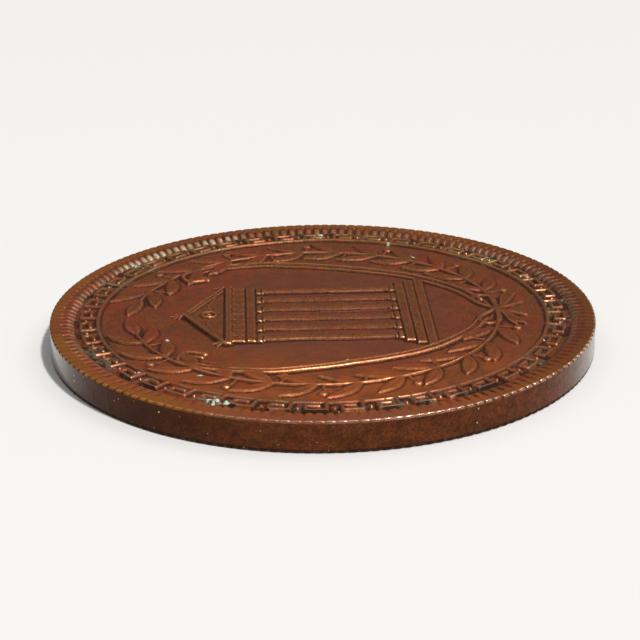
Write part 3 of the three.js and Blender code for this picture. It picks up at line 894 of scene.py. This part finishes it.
class Nodes:
    """Short calls for building the nodes of a material or of the world."""

    def __init__(self, owner, shader="Principled BSDF", place="Object"):
        self.owner = owner
        owner.use_nodes = True
        self.tree = owner.node_tree
        self.shader = self.tree.nodes[shader]
        self.place = self.node("ShaderNodeTexCoord").outputs[place]

    def node(self, kind, inputs=None, **settings):
        made = self.tree.nodes.new(kind)
        for key, value in settings.items():
            setattr(made, key, value)
        set_inputs(made, inputs or {})
        return made

    def value(self, name):
        return self.node("ShaderNodeAttribute", attribute_name=name).outputs["Fac"]

    def noise(self, scale, detail=3, roughness=0.5, stretch=None, distortion=0.0):
        """A cloudy pattern with so many patches to the metre, finer where it is stretched more."""
        place = self.place
        if stretch:
            place = self.node("ShaderNodeMapping", {"Vector": place, "Scale": stretch}).outputs["Vector"]
        inputs = {"Vector": place, "Scale": scale, "Detail": detail}
        inputs |= {"Roughness": roughness, "Distortion": distortion}
        return self.node("ShaderNodeTexNoise", inputs).outputs["Fac"]

    def ramp(self, value, low, high, out_low=0.0, out_high=1.0):
        inputs = {"Value": value, "From Min": low, "From Max": high, "To Min": out_low, "To Max": out_high}
        return self.node("ShaderNodeMapRange", inputs, interpolation_type="SMOOTHSTEP").outputs["Result"]

    def math(self, operation, a, b=0.0, clamp=False):
        made = self.node("ShaderNodeMath", {0: a, 1: b}, operation=operation, use_clamp=clamp)
        return made.outputs[0]

    def times(self, a, b, clamp=False):
        return self.math("MULTIPLY", a, b, clamp)

    def plus(self, a, b, clamp=False):
        return self.math("ADD", a, b, clamp)

    def most(self, a, b):
        return self.math("MAXIMUM", a, b)

    def about_zero(self, pattern, strength):
        """A pattern of 0 to 1 as one that lies evenly about 0."""
        return self.times(self.math("SUBTRACT", pattern, 0.5), strength)

    def mix_values(self, share, a, b):
        return self.node("ShaderNodeMix", {0: share, 2: a, 3: b}, data_type="FLOAT").outputs[0]

    def mix(self, share, a, b):
        return self.node("ShaderNodeMix", {0: share, 6: a, 7: b}, data_type="RGBA").outputs[2]

    def bump(self, height, strength, distance, normal=None):
        inputs = {"Strength": strength, "Distance": distance, "Height": height}
        if normal is not None:
            inputs["Normal"] = normal
        return self.node("ShaderNodeBump", inputs).outputs["Normal"]


def shade(red, green, blue):
    """An sRGB colour of 0 to 255 as the shader's linear one."""
    def linear(c):
        c /= 255
        return c / 12.92 if c <= 0.04045 else ((c + 0.055) / 1.055) ** 2.4

    return (linear(red), linear(green), linear(blue), 1)


RED_BROWN = shade(145, 73, 42)
OLIVE_BROWN = shade(133, 80, 39)
DEEP_BROWN = shade(82, 42, 25)
ORANGE_BROWN = shade(162, 85, 38)
GOLDEN_BROWN = shade(140, 86, 34)
PURPLE_BROWN = shade(108, 64, 54)
RUST_RED = shade(142, 56, 38)
PINK_BROWN = shade(134, 76, 57)
WALL_BROWN = shade(124, 62, 36)
WALL_OLIVE = shade(106, 66, 30)
WALL_DARK = shade(58, 32, 20)
LINT = shade(206, 184, 162)
RUBBED_COPPER_HIGHLIGHT = shade(222, 150, 98)
RUBBED_PALE_GLINT = shade(188, 140, 106)
RUBBED_OLIVE_GLINT = shade(196, 168, 104)
AMBER_SPARKLE = shade(226, 150, 66)
EDGE_HIGHLIGHT_PINK = shade(232, 186, 160)
EDGE_GLINT_GOLD = shade(250, 226, 184)
DIRT_AND_SHADE = shade(22, 17, 12)
DUST = shade(140, 146, 122)
VERDIGRIS = shade(116, 176, 152)
PALE_VERDIGRIS = shade(214, 232, 214)


class Patina(Nodes):
    """The bronze's nodes, with the marks that the mesh stores and the patterns that its layers share."""

    def __init__(self):
        super().__init__(bpy.data.materials.new("patinated_bronze"))
        self.edge, self.gilt = self.value("edge"), self.value("gilt")
        self.inner, self.outer = self.value("inner"), self.value("outer")
        self.crest, self.hollow = self.value("crest"), self.value("hollow")
        self.raised, self.chip = self.value("raised"), self.value("chip")
        self.rim, self.band, self.wall = self.value("rim"), self.value("band"), self.value("wall")
        self.broad = self.noise(110, 3, 0.55, distortion=0.8)
        self.middling = self.noise(420, 4, 0.6)
        self.fine = self.noise(2600, 3, 0.6)
        self.speckle = self.noise(4600, 2, 0.6)
        self.patchy = self.ramp(self.noise(170, 2), 0.46, 0.6)
        across = self.node("ShaderNodeSeparateXYZ", {0: self.place})
        self.x, self.y = across.outputs["X"], across.outputs["Y"]
        # 1 on the front side of the face, where the patina is warmer and is partly painted brighter, as
        # light falling on that side.
        self.side = self.ramp(self.x, -0.023, -0.004, 1.0, 0.0)


def face_colour(n):
    """Brown oxide in redder and in olive patches; the relief is more olive than the field."""
    colour = n.mix(n.ramp(n.broad, 0.36, 0.62), RED_BROWN, OLIVE_BROWN)
    colour = n.mix(n.times(n.raised, 0.55), colour, OLIVE_BROWN)
    colour = n.mix(n.ramp(n.middling, 0.35, 0.72, 0, 0.45), colour, DEEP_BROWN)
    colour = n.mix(n.ramp(n.noise(1100, 3, 0.65), 0.42, 0.7, 0, 0.4), colour, DEEP_BROWN)
    colour = n.mix(n.ramp(n.speckle, 0.42, 0.62, 0, 0.6), colour, DEEP_BROWN)
    # The sheltered middle of the field is duller, and rust-red patches lie outside it.
    duller = n.times(n.inner, n.ramp(n.raised, 0.0, 0.8, 0.5, 0.0))
    duller = n.most(duller, n.ramp(n.noise(850, 3, 0.6), 0.42, 0.66, 0, 0.4))
    colour = n.mix(duller, colour, PURPLE_BROWN)
    rusty = n.ramp(n.noise(330, 3, 0.6, distortion=1.0), 0.5, 0.62, 0, 0.55)
    colour = n.mix(n.times(rusty, n.ramp(n.inner, 0, 1, 1.0, 0.2)), colour, RUST_RED)
    # A warmer, brighter orange on the front side: partly the patina's tone, partly painted light.
    warm_and_lit = n.ramp(n.noise(260, 3, 0.6, distortion=0.6), 0.35, 0.6, 0.15, 0.75)
    warm_and_lit = n.times(n.times(n.side, warm_and_lit), n.ramp(n.band, 0, 1, 1.0, 0.35))
    return n.mix(warm_and_lit, colour, ORANGE_BROWN)


def rim_colour(n, colour):
    """The outer rim is golden, pinker at the most worn side, and duller at another."""
    outer = n.times(n.outer, n.ramp(n.broad, 0.35, 0.65, 0.35, 0.85))
    pinker = n.ramp(n.x, -0.028, -0.022, 1.0, 0.0)
    colour = n.mix(outer, colour, n.mix(pinker, GOLDEN_BROWN, PINK_BROWN))
    dull = n.times(n.rim, n.ramp(n.y, -0.027, -0.012, 0.5, 0.0))
    return n.mix(dull, colour, DEEP_BROWN)


def wall_colour(n):
    """The wall is blotched and speckled, and painted darker at one end as shade on the side away from the
    key light.
    """
    blotches = n.noise(240, 4, 0.65, distortion=0.7)
    colour = n.mix(n.ramp(blotches, 0.4, 0.66, 0.1, 0.75), WALL_BROWN, WALL_OLIVE)
    colour = n.mix(n.ramp(n.middling, 0.4, 0.72, 0, 0.45), colour, WALL_DARK)
    colour = n.mix(n.ramp(n.noise(1500, 3, 0.7), 0.42, 0.62, 0, 0.5), colour, WALL_DARK)
    colour = n.mix(n.ramp(n.speckle, 0.42, 0.62, 0, 0.5), colour, WALL_DARK)
    # Painted shade: darker towards the end away from the key light.
    return n.mix(n.ramp(n.y, 0.0, 0.02, 0.0, 0.8), colour, WALL_DARK)


def rubbed_and_highlit_crests(n, colour):
    """The crests are rubbed to copper and painted with highlights, the band's only in patches, where pale
    tops are painted glints. Returns how far, too.
    """
    rubbed_and_highlit = n.ramp(n.plus(n.crest, n.about_zero(n.middling, 1.3)), 0.32, 1.1)
    rubbed_and_highlit = n.times(rubbed_and_highlit, n.mix_values(n.band, 1.0, n.ramp(n.patchy, 0, 1, 0.3, 1.0)))
    rubbed_and_highlit = n.times(rubbed_and_highlit, n.mix_values(n.band, n.ramp(n.x, -0.014, 0.014, 1.0, 0.6), 1.0))
    rubbed_and_highlit = n.times(rubbed_and_highlit, n.ramp(n.inner, 0.6, 1.0, 0.84, 1.15), clamp=True)
    # Pale key tops, yellower at the back: painted glints.
    pale = n.most(n.times(n.band, 0.9), n.times(n.patchy, 0.5))
    yellower = n.times(n.band, n.ramp(n.x, 0.004, 0.018, 0.0, 0.8))
    copper = n.mix(yellower, n.mix(pale, RUBBED_COPPER_HIGHLIGHT, RUBBED_PALE_GLINT), RUBBED_OLIVE_GLINT)
    return n.mix(n.times(rubbed_and_highlit, 0.75), colour, copper), rubbed_and_highlit


def bright_edges(n, colour):
    """The rim's worn corner with its painted highlight and painted amber sparkles, and the painted glints
    on the dentils' ends. Returns how bright they are, too.
    """
    amber_sparkle = n.times(n.times(n.gilt, n.side), n.ramp(n.noise(900, 2, 0.6), 0.4, 0.6, 0.25, 1.0))
    colour = n.mix(n.gilt, colour, n.mix(amber_sparkle, GOLDEN_BROWN, AMBER_SPARKLE))
    shine_and_highlight = n.times(n.edge, n.ramp(n.middling, 0.36, 0.56, 0.15, 1.0))
    colour = n.mix(n.times(shine_and_highlight, 0.85), colour, n.mix(n.side, EDGE_GLINT_GOLD, EDGE_HIGHLIGHT_PINK))
    return colour, n.most(shine_and_highlight, n.times(amber_sparkle, 0.8))


def dirt_shade_and_verdigris(n, colour):
    """Dirt and painted shade in the hollows, pale dust on it, and specks of verdigris. Returns how stained
    and shaded, too.
    """
    # The hollows are painted near black: partly dirt, partly painted shade in the recesses.
    dirt_and_shade = n.ramp(n.plus(n.hollow, n.about_zero(n.fine, 0.5)), 0.25, 0.9)
    packed = n.mix_values(n.band, 0.82, n.mix_values(n.side, 0.8, 0.92))
    colour = n.mix(n.times(dirt_and_shade, packed), colour, DIRT_AND_SHADE)
    dusty = n.times(n.plus(n.times(n.band, 0.95), n.times(n.rim, 0.15)), dirt_and_shade)
    dust = n.times(n.ramp(n.noise(1300, 3, 0.65), 0.47, 0.62), dusty, clamp=True)
    dust = n.times(dust, n.patchy)
    colour = n.mix(n.times(dust, 0.6), colour, DUST)
    sheltered = n.times(n.band, n.ramp(n.hollow, 0.3, 0.7))
    speck = n.most(n.times(n.ramp(n.noise(620, 2), 0.71, 0.75), sheltered), n.chip)
    colour = n.mix(speck, colour, n.mix(n.ramp(n.fine, 0.35, 0.6), VERDIGRIS, PALE_VERDIGRIS))
    return colour, n.most(dirt_and_shade, n.most(dust, speck))


def set_gloss(n, rubbed_and_highlit, shine_and_highlight, stain_and_shade):
    """Bare where it is rubbed and where highlights are painted, dull where it is stained and where shade
    is painted.
    """
    bare = n.plus(n.times(n.most(rubbed_and_highlit, shine_and_highlight), 0.6), 0.34)
    bare = n.plus(bare, n.times(n.wall, 0.4), clamp=True)
    rough = n.ramp(n.middling, 0.25, 0.8, 0.36, 0.5)
    rough = n.math("SUBTRACT", rough, n.most(n.times(rubbed_and_highlit, 0.12), n.times(shine_and_highlight, 0.24)))
    # The wall was never worked, and keeps a smooth skin that shines along it.
    along = n.node("ShaderNodeLayerWeight", {"Blend": 0.5}).outputs["Facing"]
    skin = n.times(n.wall, n.ramp(along, 0.48, 0.84))
    set_inputs(n.shader, {
        "Metallic": n.times(bare, n.ramp(stain_and_shade, 0.0, 1.0, 1.0, 0.05)),
        "Roughness": n.plus(rough, n.times(stain_and_shade, 0.35), clamp=True),
        "Specular IOR Level": 0.15,
        "Coat Weight": n.times(skin, n.ramp(stain_and_shade, 0.0, 1.0, 1.0, 0.0)),
        "Coat Roughness": 0.2,
    })


def add_grain(n):
    """The grain of the oxide, fine scratches both ways and shallow knocks."""
    scratches = n.most(
        n.ramp(n.noise(90, 1, 0.5, stretch=(1, 24, 9), distortion=0.35), 0.615, 0.64),
        n.ramp(n.noise(80, 1, 0.5, stretch=(21, 1.3, 8), distortion=0.5), 0.62, 0.645),
    )
    grain = n.bump(n.fine, 0.45, 0.05 * MM)
    marks = n.bump(n.plus(scratches, n.times(n.middling, 2.0)), 0.35, 0.03 * MM, grain)
    set_inputs(n.shader, {"Normal": marks})


def bronze_patina():
    n = Patina()
    colour = rim_colour(n, face_colour(n))
    colour = n.mix(n.wall, colour, wall_colour(n))
    colour, rubbed_and_highlit = rubbed_and_highlit_crests(n, colour)
    colour, shine_and_highlight = bright_edges(n, colour)
    colour, stain_and_shade = dirt_shade_and_verdigris(n, colour)
    lint = n.times(n.wall, n.ramp(n.noise(1900, 1, 0.5), 0.74, 0.775, 0, 0.75))
    set_inputs(n.shader, {"Base Color": n.mix(lint, colour, LINT)})
    set_gloss(n, rubbed_and_highlit, shine_and_highlight, stain_and_shade)
    add_grain(n)
    return n.owner


bronze = bronze_patina()


def add_piece(name, mesh):
    mesh.name = name
    mesh.polygons.foreach_set("use_smooth", np.ones(len(mesh.polygons), bool))
    mark_wear_and_light(mesh)
    mesh.materials.clear()
    mesh.materials.append(bronze)
    piece = bpy.data.objects.new(name, mesh)
    bpy.context.scene.collection.objects.link(piece)
    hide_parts("medal")
    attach(piece, "root")


# The most triangles that one piece may keep.
MOST = 192000
add_piece("medal_rim", new_mesh("rim", *rim_mesh()))
add_piece("medal_field", thinned(new_mesh("field", *field_mesh()), MOST))


def floor():
    n = Nodes(bpy.data.materials.new("pale_floor"))
    pale = {"Base Color": (0.825, 0.825, 0.82, 1), "Roughness": 0.55, "Specular IOR Level": 0.3}
    set_inputs(n.shader, pale)
    mesh = bpy.data.meshes.new("floor")
    half = 1.6
    corners = [(-half, -half, 0), (half, -half, 0), (half, half, 0), (-half, half, 0)]
    mesh.from_pydata(corners, [], [(0, 1, 2, 3)])
    made = bpy.data.objects.new("floor", mesh)
    made.data.materials.append(n.owner)
    bpy.context.scene.collection.objects.link(made)


floor()

# The camera. Pixels are those of a square picture as wide as this, with the object a little low in it.
PICTURE_WIDTH = 640
RADIUS_PIXELS = 269.1
SHIFT_RIGHT = -2.8
SHIFT_UP = 18.8
RADII_AWAY = 7.0
SENSOR = 36
AZIMUTH = math.radians(-92.4)
ELEVATION = math.radians(21.83)
ROLL = math.radians(0.51)
level = Vector((math.cos(AZIMUTH), math.sin(AZIMUTH), 0))
away = Vector((-math.sin(AZIMUTH), math.cos(AZIMUTH), 0))


def camera():
    data = bpy.data.cameras.new("camera")
    data.lens = RADIUS_PIXELS * RADII_AWAY / PICTURE_WIDTH * SENSOR
    data.sensor_width = SENSOR
    data.shift_x = SHIFT_RIGHT / PICTURE_WIDTH
    data.shift_y = SHIFT_UP / PICTURE_WIDTH
    data.clip_start = 0.01
    back = Vector((0, 0, math.sin(ELEVATION))) - away * math.cos(ELEVATION)
    upward = back.cross(level)
    right = level * math.cos(ROLL) - upward * math.sin(ROLL)
    top = level * math.sin(ROLL) + upward * math.cos(ROLL)
    made = bpy.data.objects.new("camera", data)
    turned = Matrix((right, top, back)).transposed().to_4x4()
    distance = RADII_AWAY * MEDAL_RADIUS * MM
    made.matrix_world = Matrix.Translation(back * distance) @ turned
    bpy.context.scene.collection.objects.link(made)
    bpy.context.scene.camera = made


camera()

SUNLIGHT = (1, 0.98, 0.955)


def sun(name, energy, direction, width):
    """A sun that shines from a direction, as wide in degrees as this."""
    data = bpy.data.lights.new(name, "SUN")
    data.energy = energy
    data.color = SUNLIGHT
    data.angle = math.radians(width)
    made = bpy.data.objects.new(name, data)
    made.rotation_euler = direction.to_track_quat("Z", "Y").to_euler()
    bpy.context.scene.collection.objects.link(made)


sun("key", 2.52, level * 0.36 - away * 0.34 + Vector((0, 0, 0.9)), 5)
sun("side", 0.3, level * 0.62 + away * 0.2 + Vector((0, 0, 0.75)), 30)


def soft_sky():
    """Bright overhead and dimmer towards the horizon, as under one large soft light."""
    world = bpy.data.worlds.new("studio")
    bpy.context.scene.world = world
    n = Nodes(world, "Background", "Generated")
    up = n.node("ShaderNodeSeparateXYZ", {0: n.place}).outputs["Z"]
    fade = n.ramp(up, 0.3, 0.97, 0.05, 0.67)
    set_inputs(n.shader, {"Color": (1.0, 0.985, 0.985, 1), "Strength": fade})


soft_sky()

bpy.context.scene.view_settings.view_transform = "Standard"
